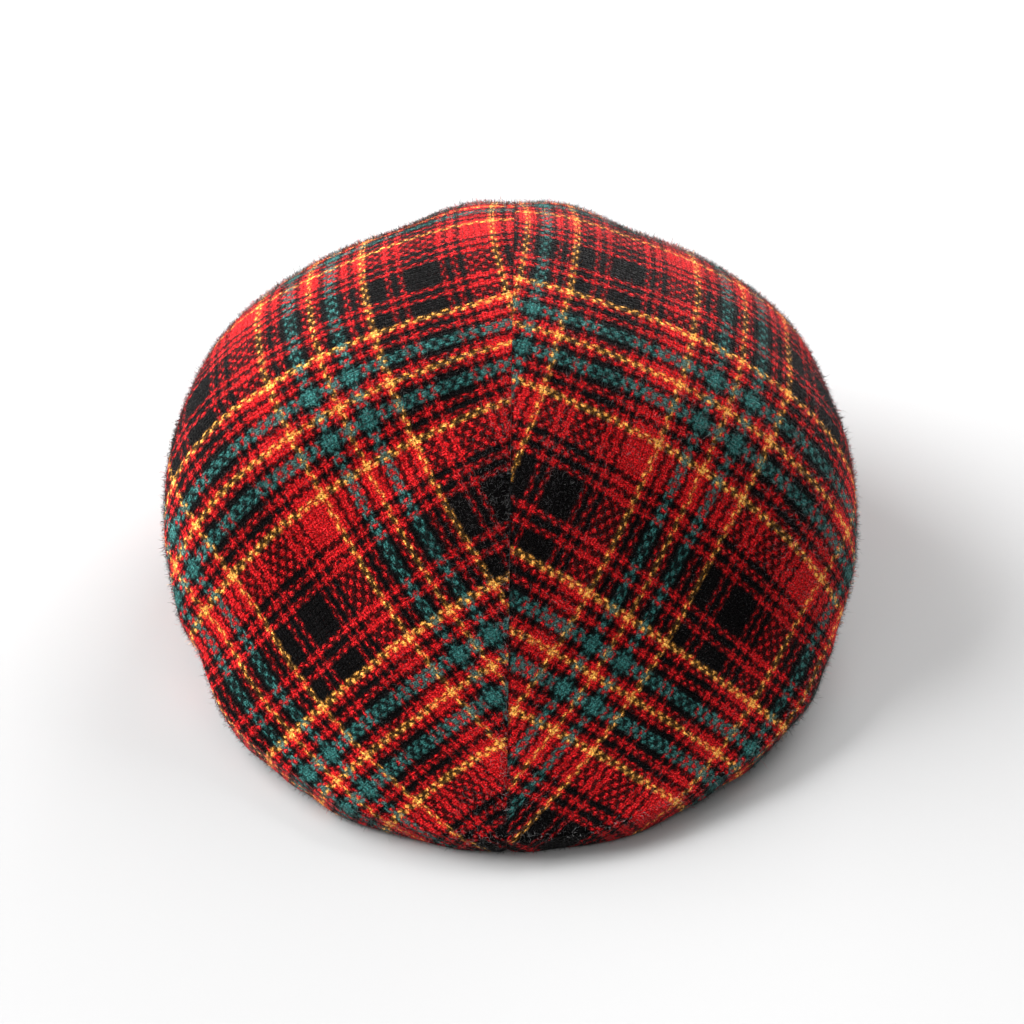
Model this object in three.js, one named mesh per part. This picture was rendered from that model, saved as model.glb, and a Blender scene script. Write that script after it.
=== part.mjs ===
// A two-panel flat cap in wool cloth, resting on its rim and on the tip of its peak.
// Millimetres, +Z up, the peak towards -Y. The origin lies under the middle of the cap.

import * as THREE from 'three';
import { mergeVertices } from 'three/addons/utils/BufferGeometryUtils.js';

const { degToRad, lerp } = THREE.MathUtils;

// The crown, measured from its pole, the point of the centre seam where all profiles start
const WIDTH = 209;
const FRONT_REACH = 130;
const BACK_REACH = 120;
const POLE_HEIGHT = 84;
const POLE_LEAN = 0.33; // fall of the crown towards the front at the pole
const POLE_Y = (FRONT_REACH - BACK_REACH) / 2;

// The head opening, from the same pole
const HEAD_WIDTH = 168;
const HEAD_FRONT = 90;
const HEAD_BACK = 107;

// Cloth, board and band
const CLOTH = 2;
const GAP = 0.3;
const LIP_IN = 1; // how far the cloth turns in below the edge of the peak
const BOARD = 3;
const BOARD_LIFT = 1.5; // underside of the board above the hem of the cloth
const BAND = 2;

// One profile for each direction from the pole: 0 is the front, 180 the back.
//   edge: height of the fullest line       slope: fall of the cloth where it meets that line, in degrees
//   hem: height of the turned-in edge      tuck: share of the way from the lip of the peak to the head opening
//   first, last: handles of the curve, as a share of the reach and in millimetres
//   rise: height of the lower edge of the band      tall, lean: height of the band and how far it leans in
const PROFILES = [
  { angle: 0, edge: 6, slope: 27, hem: 0, tuck: 0, first: 0.3, last: 52, rise: 16, tall: 18, lean: 15 },
  { angle: 25, edge: 8, slope: 29, hem: 2, tuck: 0, first: 0.32, last: 49, rise: 14, tall: 19, lean: 14 },
  { angle: 45, edge: 11, slope: 34, hem: 5, tuck: 0.03, first: 0.38, last: 43, rise: 10.5, tall: 22, lean: 11 },
  { angle: 60, edge: 18, slope: 54, hem: 6.5, tuck: 0.25, first: 0.46, last: 36, rise: 7.5, tall: 25, lean: 7 },
  { angle: 75, edge: 28, slope: 82, hem: 4.5, tuck: 0.8, first: 0.54, last: 30, rise: 4, tall: 27, lean: 4 },
  { angle: 95, edge: 36, slope: 90, hem: 3, tuck: 1, first: 0.6, last: 30, rise: 0, tall: 28, lean: 2 },
  { angle: 130, edge: 42, slope: 90, hem: 3, tuck: 1, first: 0.5, last: 27, rise: 0, tall: 28, lean: 2 },
  { angle: 180, edge: 40, slope: 90, hem: 3, tuck: 1, first: 0.57, last: 29, rise: 0, tall: 28, lean: 2 },
];

// Soft mounds (+) and hollows (-) of each panel, mirrored on the other: where they lie, how far they
// spread and how high they are. The first is the groove along the centre seam.
const DENTS = [
  { across: 0, along: 0, wide: 5, long: 1000, height: -1.2 },
  { across: 13, along: 100, wide: 13, long: 24, height: 2.2 },
  { across: 40, along: 96, wide: 15, long: 26, height: -2 },
  { across: 100, along: -28, wide: 14, long: 20, height: -2.5 },
  { across: 30, along: -45, wide: 26, long: 30, height: 1.5 },
];

// Steps of the mesh
const DIRECTIONS = 40; // round each panel
const TOP_STEPS = 16;
const TUCK_STEPS = 5;
const SEAM_CROWDING = 0.55; // how much the directions crowd towards the seam
const BOARD_DIRECTIONS = 36;
const BOARD_STEPS = 5;
const BOARD_END = degToRad(73);
const BAND_DIRECTIONS = 64;

// Cloth colours
const RED = 0x9c1420;
const DARK_RED = 0x8c101c;
const BLACK = 0x1c1a1a;
const GREEN = 0x2a5a54;

// A curve through one column of the profile table, level at the front and at the back.
function columnCurve(name) {
  const angles = PROFILES.map((row) => degToRad(row.angle));
  const curve = new THREE.CubicInterpolant(angles, PROFILES.map((row) => row[name]), 1);
  curve.settings = { endingStart: THREE.ZeroSlopeEnding, endingEnd: THREE.ZeroSlopeEnding };
  return (angle) => curve.evaluate(angle)[0];
}

const COLUMNS = Object.fromEntries(Object.keys(PROFILES[0]).map((name) => [name, columnCurve(name)]));

function rowAt(angle) {
  const row = {};
  for (const [name, curve] of Object.entries(COLUMNS)) row[name] = curve(Math.abs(angle));
  row.rise = Math.max(row.rise, 0);
  row.tuck = THREE.MathUtils.clamp(row.tuck, 0, 1);
  return row;
}

// Distance from the pole to an oval that is longer at one end.
function ovalReach(angle, width, front, back) {
  const length = Math.cos(angle) > 0 ? front : back;
  return 1 / Math.hypot(Math.sin(angle) / (width / 2), Math.cos(angle) / length);
}

const crownReach = (angle) => ovalReach(angle, WIDTH, FRONT_REACH, BACK_REACH);
const headReach = (angle) => ovalReach(angle, HEAD_WIDTH, HEAD_FRONT, HEAD_BACK);
const turnIn = (angle, tuck) => lerp(LIP_IN, crownReach(angle) - headReach(angle), tuck);

// A point in the upright plane of one direction.
function place(angle, reach, height) {
  return new THREE.Vector3(reach * Math.sin(angle), POLE_Y - reach * Math.cos(angle), height);
}

// Outer profile of the cloth in one direction: from the pole to the fullest line, then in to the hem.
function profilePoints(angle) {
  const row = rowAt(angle);
  const reach = crownReach(angle);
  const slope = degToRad(row.slope);
  const handle = row.first * reach;
  const fullest = new THREE.Vector2(reach, row.edge);
  const top = new THREE.CubicBezierCurve(
    new THREE.Vector2(0, POLE_HEIGHT),
    new THREE.Vector2(handle, POLE_HEIGHT - POLE_LEAN * Math.cos(angle) * handle),
    new THREE.Vector2(reach - row.last * Math.cos(slope), row.edge + row.last * Math.sin(slope)),
    fullest,
  );
  const turn = new THREE.QuadraticBezierCurve(
    fullest,
    new THREE.Vector2(reach, lerp((row.edge + row.hem) / 2, row.hem, row.tuck)),
    new THREE.Vector2(reach - turnIn(angle, row.tuck), row.hem),
  );
  const points = [...top.getPoints(TOP_STEPS), ...turn.getPoints(TUCK_STEPS).slice(1)];
  return points.map((point) => place(angle, point.x, point.y));
}

// Outward normals of a grid of points, kept in the seam's plane at both ends of the grid.
function gridNormals(grid) {
  const last = grid.length - 1;
  return grid.map((column, i) => column.map((point, j) => {
    if (j === 0) return new THREE.Vector3(0, -POLE_LEAN, 1).normalize();
    const round = grid[Math.min(i + 1, last)][j].clone().sub(grid[Math.max(i - 1, 0)][j]);
    const down = column[Math.min(j + 1, column.length - 1)].clone().sub(column[j - 1]);
    const normal = down.cross(round);
    if (i === 0 || i === last) normal.x = 0;
    return normal.normalize();
  }));
}

function dentHeight(point) {
  return DENTS.reduce((sum, dent) => {
    const across = (Math.abs(point.x) - dent.across) / dent.wide;
    const along = (point.y - dent.along) / dent.long;
    return sum + dent.height * Math.exp(-across * across - along * along);
  }, 0);
}

function offsetGrid(grid, normals, distanceAt) {
  return grid.map((column, i) => column.map((point, j) => (
    point.clone().addScaledVector(normals[i][j], distanceAt(point, j))
  )));
}

// Directions from the front to the back, closer together near the seam.
function panelDirections() {
  return Array.from({ length: DIRECTIONS + 1 }, (_, i) => {
    const share = i / DIRECTIONS;
    return Math.PI * share - SEAM_CROWDING * Math.sin(2 * Math.PI * share) / 2;
  });
}

// A closed mesh from points and faces, where points that coincide become one and empty faces go.
function closedMesh(name, color, triangles) {
  const geometry = new THREE.BufferGeometry().setFromPoints(triangles.flat());
  const merged = mergeVertices(geometry, 1e-4);
  const index = merged.getIndex().array;
  const kept = [];
  for (let i = 0; i < index.length; i += 3) {
    const [a, b, c] = index.slice(i, i + 3);
    if (a !== b && b !== c && c !== a) kept.push(a, b, c);
  }
  merged.setIndex(kept);
  merged.computeVertexNormals();
  const material = new THREE.MeshStandardMaterial({ color, roughness: 0.95, metalness: 0 });
  const mesh = new THREE.Mesh(merged, material);
  mesh.name = name;
  return mesh;
}

function quad(a, b, c, d) {
  return [[a, b, c], [a, c, d]];
}

// The wall between two grids of points with the same layout.
function wallTriangles(outer, inner) {
  const triangles = [];
  const last = outer.length - 1;
  const end = outer[0].length - 1;
  for (let i = 0; i < last; i += 1) {
    for (let j = 0; j < end; j += 1) {
      triangles.push(...quad(outer[i][j], outer[i][j + 1], outer[i + 1][j + 1], outer[i + 1][j]));
      triangles.push(...quad(inner[i][j], inner[i + 1][j], inner[i + 1][j + 1], inner[i][j + 1]));
    }
    triangles.push(...quad(outer[i][end], inner[i][end], inner[i + 1][end], outer[i + 1][end]));
  }
  for (let j = 0; j < end; j += 1) {
    triangles.push(...quad(outer[0][j], inner[0][j], inner[0][j + 1], outer[0][j + 1]));
    triangles.push(...quad(outer[last][j], outer[last][j + 1], inner[last][j + 1], inner[last][j]));
  }
  return triangles;
}

// One cloth panel. The left one (side -1) is the mirror image of the right one (side 1).
function crownPanel(name, color, side) {
  const bare = panelDirections().map(profilePoints);
  const onTop = (j) => Math.min(1, 2 * Math.max(0, 1 - j / (TOP_STEPS + 1)));
  const outer = offsetGrid(bare, gridNormals(bare), (point, j) => dentHeight(point) * onTop(j));
  const inner = offsetGrid(outer, gridNormals(outer), () => -CLOTH);
  const toSide = (point) => point.clone().setX(side * (point.x + GAP / 2));
  const triangles = wallTriangles(outer, inner).map((triangle) => {
    const corners = triangle.map(toSide);
    return side > 0 ? corners : corners.reverse();
  });
  return closedMesh(name, color, triangles);
}

// A closed band of faces round each section; the ends are closed too unless the sections meet.
function loftTriangles(sections, meets) {
  const triangles = [];
  const count = sections[0].length;
  const last = sections.length - 1;
  for (let i = 0; i < (meets ? sections.length : last); i += 1) {
    const next = sections[(i + 1) % sections.length];
    for (let k = 0; k < count; k += 1) {
      const l = (k + 1) % count;
      triangles.push(...quad(sections[i][k], sections[i][l], next[l], next[k]));
    }
  }
  for (let k = 0; !meets && k < count / 2 - 1; k += 1) {
    const [first, final] = [sections[0], sections[last]];
    const mirror = count - 1 - k;
    triangles.push(...quad(first[k], first[mirror], first[mirror - 1], first[k + 1]));
    triangles.push(...quad(final[k], final[k + 1], final[mirror - 1], final[mirror]));
  }
  return triangles;
}

// Section of the peak's board in one direction: over the top from the band to the edge, and back below.
function boardSection(angle) {
  const row = rowAt(angle);
  const inside = headReach(Math.abs(angle));
  const outside = crownReach(angle) - turnIn(angle, row.tuck) - CLOTH - 2 * GAP;
  const under = new THREE.QuadraticBezierCurve(
    new THREE.Vector2(inside, row.rise),
    new THREE.Vector2((inside + outside) / 2, lerp(row.hem + BOARD_LIFT, row.rise, 0.55)),
    new THREE.Vector2(outside, row.hem + BOARD_LIFT),
  ).getPoints(BOARD_STEPS);
  const over = under.map((point) => place(angle, point.x, point.y + BOARD));
  return [...over, ...under.reverse().map((point) => place(angle, point.x, point.y))];
}

function peakBoard(name, color) {
  const sections = Array.from({ length: BOARD_DIRECTIONS + 1 }, (_, i) => (
    boardSection(lerp(-BOARD_END, BOARD_END, i / BOARD_DIRECTIONS))
  ));
  return closedMesh(name, color, loftTriangles(sections, false));
}

// Section of the band in one direction: up its inside and down its outside.
function bandSection(angle) {
  const row = rowAt(angle);
  const outside = headReach(angle) - GAP;
  const top = row.rise + row.tall;
  return [
    place(angle, outside - BAND, row.rise),
    place(angle, outside - row.lean - BAND, top),
    place(angle, outside - row.lean, top),
    place(angle, outside, row.rise),
  ];
}

function headBand(name, color) {
  const sections = Array.from({ length: BAND_DIRECTIONS }, (_, i) => (
    bandSection(lerp(-Math.PI, Math.PI, i / BAND_DIRECTIONS))
  ));
  return closedMesh(name, color, loftTriangles(sections, true));
}

const cap = new THREE.Group();
cap.add(crownPanel('crown_left', RED, -1));
cap.add(crownPanel('crown_right', DARK_RED, 1));
cap.add(peakBoard('peak', GREEN));
cap.add(headBand('headband', BLACK));

export default cap;
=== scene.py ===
"""A tartan flat cap: two wool panels sewn along one seam over a stiff peak, with a plain band inside."""
import logging
import math
from dataclasses import dataclass, field
from enum import Enum
from typing import Any, Dict, Optional, Sequence, Tuple, Union

import bpy
import numpy as np
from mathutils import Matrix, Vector


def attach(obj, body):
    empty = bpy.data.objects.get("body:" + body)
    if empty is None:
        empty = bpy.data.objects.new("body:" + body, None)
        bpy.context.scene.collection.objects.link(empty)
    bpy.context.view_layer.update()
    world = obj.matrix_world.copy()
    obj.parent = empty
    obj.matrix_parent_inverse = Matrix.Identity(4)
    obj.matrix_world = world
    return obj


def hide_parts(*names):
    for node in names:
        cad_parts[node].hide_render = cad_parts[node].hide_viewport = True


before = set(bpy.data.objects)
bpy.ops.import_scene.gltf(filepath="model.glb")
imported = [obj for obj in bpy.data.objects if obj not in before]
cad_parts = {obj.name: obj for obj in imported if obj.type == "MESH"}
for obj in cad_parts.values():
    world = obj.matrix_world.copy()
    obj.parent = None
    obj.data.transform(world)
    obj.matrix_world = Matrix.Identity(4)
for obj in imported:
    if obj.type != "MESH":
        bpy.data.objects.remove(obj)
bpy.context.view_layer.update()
LOG = logging.getLogger("flat_cap")
MM = 0.001
MIDDLE = (0.0, 0.0, 0.040)
Colour = Tuple[float, float, float]


class Side(Enum):
    """The half of the cap that a panel covers, as the sign of its X."""

    LEFT = -1
    RIGHT = 1

    @property
    def word(self) -> str:
        """The side's name in a piece's name."""
        return self.name.lower()


class ClothMap(Enum):
    """The UV maps: each point's place on the flat cloth in metres, and the one for baked fibres."""

    FLAT = "cloth"
    BAKED = "OFBake"


class Yarn(Enum):
    """Dyed wool yarns of the tartan, as linear colours before the weave mixes them and painted shade between
    the threads darkens them.
    """

    RED = (0.63, 0.005, 0.008)
    BLACK = (0.0036, 0.0033, 0.0035)
    TEAL = (0.029, 0.15, 0.137)
    YELLOW = (1.3, 0.56, 0.07)


@dataclass(frozen=True)
class Grain:
    """A grain of noise: its size in metres, how many finer layers it has and how strong they are."""

    size: float
    detail: float = 2.0
    rough: float = 0.5


@dataclass(frozen=True)
class Ease:
    """A smooth way from one range of numbers to another, level beyond its ends."""

    low: float
    high: float
    to_low: float = 0.0
    to_high: float = 1.0


class Signal:
    """A number in a shader, so that node maths is written as an expression."""

    def __init__(self, paint: "Paint", socket: bpy.types.NodeSocket) -> None:
        """Wrap one output socket of a paint's nodes."""
        self.paint = paint
        self.socket = socket

    def math(self, operation: str, *others: "Value") -> "Signal":
        """Add one Math node that takes this number first.

        Args:
            operation: The node's operation.
            others: What feeds its second and third inputs.

        Returns:
            The node's result.
        """
        inputs = dict(enumerate((self, *others)))
        return self.paint.node("ShaderNodeMath", {"operation": operation}, inputs)

    def __add__(self, other: "Value") -> "Signal":
        """The sum."""
        return self.math("ADD", other)

    __radd__ = __add__

    def __mul__(self, other: "Value") -> "Signal":
        """The product."""
        return self.math("MULTIPLY", other)

    __rmul__ = __mul__

    def __sub__(self, other: "Value") -> "Signal":
        """The difference."""
        return self.math("SUBTRACT", other)

    def __rsub__(self, other: float) -> "Signal":
        """The difference, taken from a plain number."""
        return self.paint.node("ShaderNodeMath", {"operation": "SUBTRACT"}, {0: other, 1: self})

    def __truediv__(self, other: "Value") -> "Signal":
        """The quotient."""
        return self.math("DIVIDE", other)

    def __rtruediv__(self, other: float) -> "Signal":
        """The quotient of a plain number by this one."""
        return self.paint.node("ShaderNodeMath", {"operation": "DIVIDE"}, {0: other, 1: self})

    def __abs__(self) -> "Signal":
        """The size without its sign."""
        return self.math("ABSOLUTE")


Value = Union[Signal, float, Sequence[float]]


class Paint:
    """One material and the nodes that make it."""

    def __init__(self, name: str) -> None:
        """Start a material with its Principled shader.

        Args:
            name: The material's name.
        """
        self.material = bpy.data.materials.new(name)
        self.material.use_nodes = True
        self.tree = self.material.node_tree
        self.shader = self.tree.nodes["Principled BSDF"]

    def node(
        self,
        kind: str,
        settings: Optional[Dict[str, Any]] = None,
        inputs: Optional[Dict[Union[int, str], Value]] = None,
        output: int = 0,
    ) -> Signal:
        """Add one node.

        Args:
            kind: The node's type.
            settings: Its own settings; "stops" holds a ramp's (position, colour) pairs.
            inputs: Values or links of its sockets.
            output: Which of its outputs is returned.

        Returns:
            That output.
        """
        made = self.tree.nodes.new(kind)
        for key, value in (settings or {}).items():
            if key == "stops":
                self.set_stops(made.color_ramp, value)
            else:
                setattr(made, key, value)
        for key, value in (inputs or {}).items():
            self.feed(made.inputs[key], value)
        return Signal(self, made.outputs[output])

    def feed(self, socket: bpy.types.NodeSocket, value: Value) -> None:
        """Link a signal to a socket, or set the socket's own value.

        Args:
            socket: The input socket.
            value: A signal, a number, a vector or a colour.
        """
        if isinstance(value, Signal):
            self.tree.links.new(value.socket, socket)
        else:
            socket.default_value = value

    @staticmethod
    def set_stops(ramp: bpy.types.ColorRamp, stops: Sequence[Tuple[float, Colour]]) -> None:
        """Fill a ramp with stops that each hold their colour up to the next.

        Args:
            ramp: A new ramp.
            stops: Positions and colours, the first at 0.
        """
        ramp.interpolation = "CONSTANT"
        for position, colour in stops[1:]:
            ramp.elements.new(position).color = (*colour, 1.0)
        ramp.elements[0].color = (*stops[0][1], 1.0)
        last = ramp.elements[len(ramp.elements) - 1]
        if last.position > stops[-1][0]:
            ramp.elements.remove(last)

    def mix(self, share: Value, first: Value, second: Value, blend: str = "MIX") -> Signal:
        """Mix two colours.

        Args:
            share: How much of the second colour there is.
            first: The colour where the share is 0.
            second: The colour where the share is 1.
            blend: The way they mix.

        Returns:
            The mixed colour.
        """
        settings = {"data_type": "RGBA", "blend_type": blend}
        return self.node("ShaderNodeMix", settings, {0: share, 6: first, 7: second}, output=2)

    def vector(self, operation: str, *inputs: Value) -> Signal:
        """Add one Vector Math node."""
        return self.node("ShaderNodeVectorMath", {"operation": operation}, dict(enumerate(inputs)))

    def scaled(self, colour: Value, share: Signal) -> Signal:
        """Make a colour lighter or darker."""
        return self.node("ShaderNodeVectorMath", {"operation": "SCALE"}, {0: colour, "Scale": share})

    def parts(self, vector: Signal) -> Tuple[Signal, ...]:
        """The three parts of a vector."""
        made = self.node("ShaderNodeSeparateXYZ", None, {0: vector})
        return tuple(Signal(self, socket) for socket in made.socket.node.outputs)

    def cloth(self) -> Signal:
        """The place on the flat cloth, in metres."""
        return self.node("ShaderNodeUVMap", {"uv_map": ClothMap.FLAT.value})

    def place(self) -> Signal:
        """The place on the object, in metres."""
        return self.node("ShaderNodeTexCoord", output=3)

    def noise(self, place: Signal, grain: Grain, output: int = 0) -> Signal:
        """Add noise of a given grain.

        Args:
            place: Where the noise is read.
            grain: Its grain.
            output: 0 for its value, 1 for its three values as a colour.

        Returns:
            The noise, round a middle of 0.5.
        """
        inputs = {"Vector": place, "Scale": 1.0 / grain.size}
        inputs.update({"Detail": grain.detail, "Roughness": grain.rough})
        return self.node("ShaderNodeTexNoise", {"noise_dimensions": "3D"}, inputs, output)

    def between(self, value: Value, ease: Ease) -> Signal:
        """Carry a number from one range to another, smoothly and within its limits."""
        inputs = {"Value": value, 1: ease.low, 2: ease.high, 3: ease.to_low, 4: ease.to_high}
        return self.node("ShaderNodeMapRange", {"interpolation_type": "SMOOTHSTEP"}, inputs)

    def set(self, **sockets: Value) -> None:
        """Feed the shader's sockets, named with underscores for spaces."""
        for name, value in sockets.items():
            self.feed(self.shader.inputs[name.replace("_", " ")], value)

    def bump(self, height: Signal, distance: float, strength: float) -> None:
        """Send a height through a Bump node to the shader's normal."""
        inputs = {"Strength": strength, "Distance": distance, "Height": height}
        self.feed(self.shader.inputs["Normal"], self.node("ShaderNodeBump", None, inputs))


@dataclass(frozen=True)
class Tartan:
    """The tartan's threads: their order, their spacing and how worn to felt they are, with the shade between
    them and the highlights of loose fibres painted into the colour.

    Lengths are in metres, and each grain belongs to the value before it.
    """

    end_pitch: float = 0.84 * MM
    pick_pitch: float = 1.10 * MM
    order: Tuple[Tuple[Yarn, int], ...] = (
        (Yarn.YELLOW, 2), (Yarn.RED, 10), (Yarn.BLACK, 2), (Yarn.RED, 2), (Yarn.BLACK, 2), (Yarn.RED, 2),
        (Yarn.BLACK, 12), (Yarn.RED, 2), (Yarn.BLACK, 2), (Yarn.RED, 2), (Yarn.BLACK, 6), (Yarn.YELLOW, 2),
        (Yarn.RED, 2), (Yarn.BLACK, 2), (Yarn.RED, 2), (Yarn.BLACK, 2), (Yarn.TEAL, 4), (Yarn.BLACK, 2),
        (Yarn.RED, 2), (Yarn.YELLOW, 2), (Yarn.RED, 2), (Yarn.BLACK, 2), (Yarn.TEAL, 4), (Yarn.BLACK, 2),
        (Yarn.RED, 2), (Yarn.BLACK, 2), (Yarn.RED, 2),
    )
    wander: float = 1.1 * MM
    wander_grain: Grain = Grain(6 * MM, 1.0)
    wobble: float = 0.7 * MM
    wobble_grain: Grain = Grain(1.2 * MM, 0.0)
    felting: float = 2.9
    felt_grain: Grain = Grain(0.65 * MM, 2.0, 0.7)
    unevenness: float = 1.5
    uneven_grain: Grain = Grain(1.3 * MM, 0.0)
    fray: float = 1.3 * MM
    fray_grain: Grain = Grain(0.1 * MM, 0.0)
    end_fray: float = 0.7
    pick_fray: float = 0.5
    crown: float = 0.3
    pick_lead: float = 0.1
    red_yields: Ease = Ease(0.2, 0.6, 0.0, 0.18)
    yellow_yields: Ease = Ease(0.2, 0.5, 0.0, 0.2)
    crossing: Ease = Ease(-0.3, 0.3)
    mingling: Ease = Ease(-0.3, 0.3, 0.045, 0.955)
    overlap: Ease = Ease(0.0, 0.7, 0.5, 0.0)
    cover: float = 0.5
    darkening: float = 0.78
    glow: float = 0.12
    ridge_height: float = 0.4
    float_height: float = 0.6
    brushed: Tuple[float, float, float] = (0.7, 1.0, 1.0)
    tone: Ease = Ease(0.41, 0.59, 0.34, 1.62)
    tone_grain: Grain = Grain(0.36 * MM, 2.0, 0.6)
    dye: Ease = Ease(0.35, 0.65, 0.87, 1.13)
    dye_grain: Grain = Grain(8 * MM)
    # painted shade: the colour is darkened where the thread that shows lies low, between the threads
    shade: Ease = Ease(0.1, 0.95, 0.52, 1.3)
    # painted highlights: pale specks mixed into the colour, stronger where the colour is brighter, in place
    # of light caught by loose fibres
    highlight_specks: Ease = Ease(0.88, 1.3, 0.0, 1.3)
    highlight_grain: Grain = Grain(0.4 * MM, 2.0, 0.65)
    least_highlight: float = 0.001
    bright_highlight: float = 0.15
    highlight_colour: Colour = (1.0, 0.98, 1.0)
    roughness: float = 0.95
    gloss: float = 0.02
    sheen: float = 0.16
    sheen_roughness: float = 0.24
    thread_bump: float = 0.8
    fibre_bump: float = 1.3
    fibre_grain: Grain = Grain(0.4 * MM, 3.0)
    bump_depth: float = 0.5 * MM
    bump_strength: float = 0.9

    @property
    def repeat(self) -> int:
        """Threads in one repeat of the order."""
        return sum(count for _, count in self.order)

    def stops(self) -> Sequence[Tuple[float, Colour]]:
        """The order as ramp stops over one repeat.

        Returns:
            The start and the colour of each stripe.
        """
        found = []
        start = 0
        for yarn, count in self.order:
            found.append((start / self.repeat, yarn.value))
            start += count
        return found

    def stripes(self, paint: Paint, thread: Signal) -> Signal:
        """The colour of a thread by its count."""
        share = (thread / self.repeat).math("FRACT")
        return paint.node("ShaderNodeValToRGB", {"stops": self.stops()}, {"Fac": share})

    def threads(self, paint: Paint, cloth: Signal) -> Tuple[Signal, Signal]:
        """Count the threads at a place, where each thread wanders a little from its straight line.

        Args:
            paint: The material that is being made.
            cloth: Place on the flat cloth, in metres.

        Returns:
            Counts of ends and of picks.
        """
        moved = cloth
        for size, grain in ((self.wander, self.wander_grain), (self.wobble, self.wobble_grain)):
            strayed = paint.vector("SUBTRACT", paint.noise(cloth, grain, output=1), (0.5,) * 3)
            moved = paint.vector("MULTIPLY_ADD", strayed, (size,) * 3, moved)
        across, along = paint.parts(moved)[:2]
        return across / self.end_pitch, along / self.pick_pitch

    def yarns(self, paint: Paint, thread: Signal, spread: Signal) -> Signal:
        """The colour of threads whose edges the fibres of darker neighbours half cover.

        Args:
            paint: The material that is being made.
            thread: Count of the thread.
            spread: How many threads away the fibres come from.

        Returns:
            The colour.
        """
        beside = self.stripes(paint, thread + spread), self.stripes(paint, thread - spread)
        darker = paint.mix(1.0, *beside, "DARKEN")
        covered = paint.mix(self.glow, darker, paint.mix(0.5, *beside))
        return paint.mix(self.cover, self.stripes(paint, thread), covered)

    def thin(self, paint: Paint, colour: Signal) -> Signal:
        """How much a bright yarn yields to the one that it crosses, the fine yellow one most of all."""
        red, green = paint.parts(colour)[:2]
        return paint.between(red, self.red_yields) + paint.between(green, self.yellow_yields)

    @staticmethod
    def turns(ends: Signal, picks: Signal) -> Tuple[Signal, Signal]:
        """Waves of the ends and the picks as they pass over and under each other in twos."""
        return (ends * (math.pi / 2)).math("COSINE"), (picks * (math.pi / 2)).math("COSINE")

    @staticmethod
    def ridges(ends: Signal, picks: Signal) -> Tuple[Signal, Signal]:
        """How near a place is to the crown of its end and of its pick."""
        return abs((ends * math.pi).math("SINE")), abs((picks * math.pi).math("SINE"))

    def weave(self, paint: Paint, cloth: Signal) -> Tuple[Signal, Signal]:
        """Weave the threads over and under each other in twos, and felt them together.

        Args:
            paint: The material that is being made.
            cloth: Place on the flat cloth, in metres.

        Returns:
            The colour, and how far the thread that shows stands up, from 0 to 1.
        """
        ends, picks = self.threads(paint, cloth)
        ragged = paint.parts(paint.noise(cloth, self.felt_grain, output=1))
        loose = paint.parts(paint.noise(cloth, self.fray_grain, output=1))
        uneven = paint.noise(cloth, self.uneven_grain) - 0.5
        loose_ends = ends + (loose[0] - 0.5) * (self.fray / self.end_pitch)
        loose_picks = picks + (loose[1] - 0.5) * (self.fray / self.pick_pitch)
        end_colour = self.yarns(paint, loose_ends, ragged[0] * self.end_fray)
        pick_colour = self.yarns(paint, loose_picks, ragged[1] * self.pick_fray)
        end_turn, pick_turn = self.turns(loose_ends, loose_picks)
        end_ridge, pick_ridge = self.ridges(ends, picks)
        shown = end_turn * pick_turn + (end_ridge - pick_ridge) * self.crown - self.pick_lead
        shown = shown + (ragged[2] - 0.5) * self.felting + uneven * self.unevenness
        shown = shown + self.thin(paint, pick_colour) - self.thin(paint, end_colour)
        woven = paint.mix(paint.between(shown, self.mingling), pick_colour, end_colour)
        darker = paint.mix(1.0, pick_colour, end_colour, "DARKEN")
        felted = paint.mix(self.darkening, paint.mix(0.5, pick_colour, end_colour), darker)
        colour = paint.mix(paint.between(abs(shown), self.overlap), woven, felted)
        return colour, self.relief(paint, ends, picks)

    def relief(self, paint: Paint, ends: Signal, picks: Signal) -> Signal:
        """How far the thread on top stands up.

        Args:
            paint: The material that is being made.
            ends: Count of the ends.
            picks: Count of the picks.

        Returns:
            The height, from 0 between the threads to 1 on the crown of a float.
        """
        end_ridge, pick_ridge = self.ridges(ends, picks)
        end_turn, pick_turn = self.turns(ends, picks)
        over = paint.between(end_turn * pick_turn + (end_ridge - pick_ridge) * self.crown, self.crossing)
        end_height = end_ridge * self.ridge_height + abs(pick_turn) * self.float_height
        pick_height = pick_ridge * self.ridge_height + abs(end_turn) * self.float_height
        return pick_height + over * (end_height - pick_height)

    def fibre(self, paint: Paint, cloth: Signal, colour: Signal, height: Signal) -> Signal:
        """Paint shade into the dyed colour between the threads, vary its tone at random, and paint pale
        highlight specks on it where loose fibres catch the light.

        Args:
            paint: The material that is being made.
            cloth: Place on the flat cloth, in metres.
            colour: The woven colour.
            height: How far the thread that shows stands up.

        Returns:
            The colour with its fibres, its painted shade and its painted highlights.
        """
        lain = paint.vector("MULTIPLY", cloth, self.brushed)
        fine = paint.noise(lain, self.tone_grain)
        broad = paint.noise(cloth, self.dye_grain)
        light = paint.between(fine, self.tone) * paint.between(broad, self.dye)
        # painted shade: darker between the threads, where the thread that shows lies low; the random tone in
        # light varies it too
        shaded_colour = paint.scaled(colour, light * paint.between(height, self.shade))
        bright = paint.node("ShaderNodeRGBToBW", None, {0: shaded_colour})
        specks = paint.between(paint.noise(lain, self.highlight_grain) + fine, self.highlight_specks)
        # painted highlights: pale specks, stronger on brighter colour, standing in for light caught by loose
        # fibres
        painted_highlight = specks * (self.least_highlight + bright * self.bright_highlight)
        return paint.mix(painted_highlight, shaded_colour, (*self.highlight_colour, 1.0))

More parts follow.
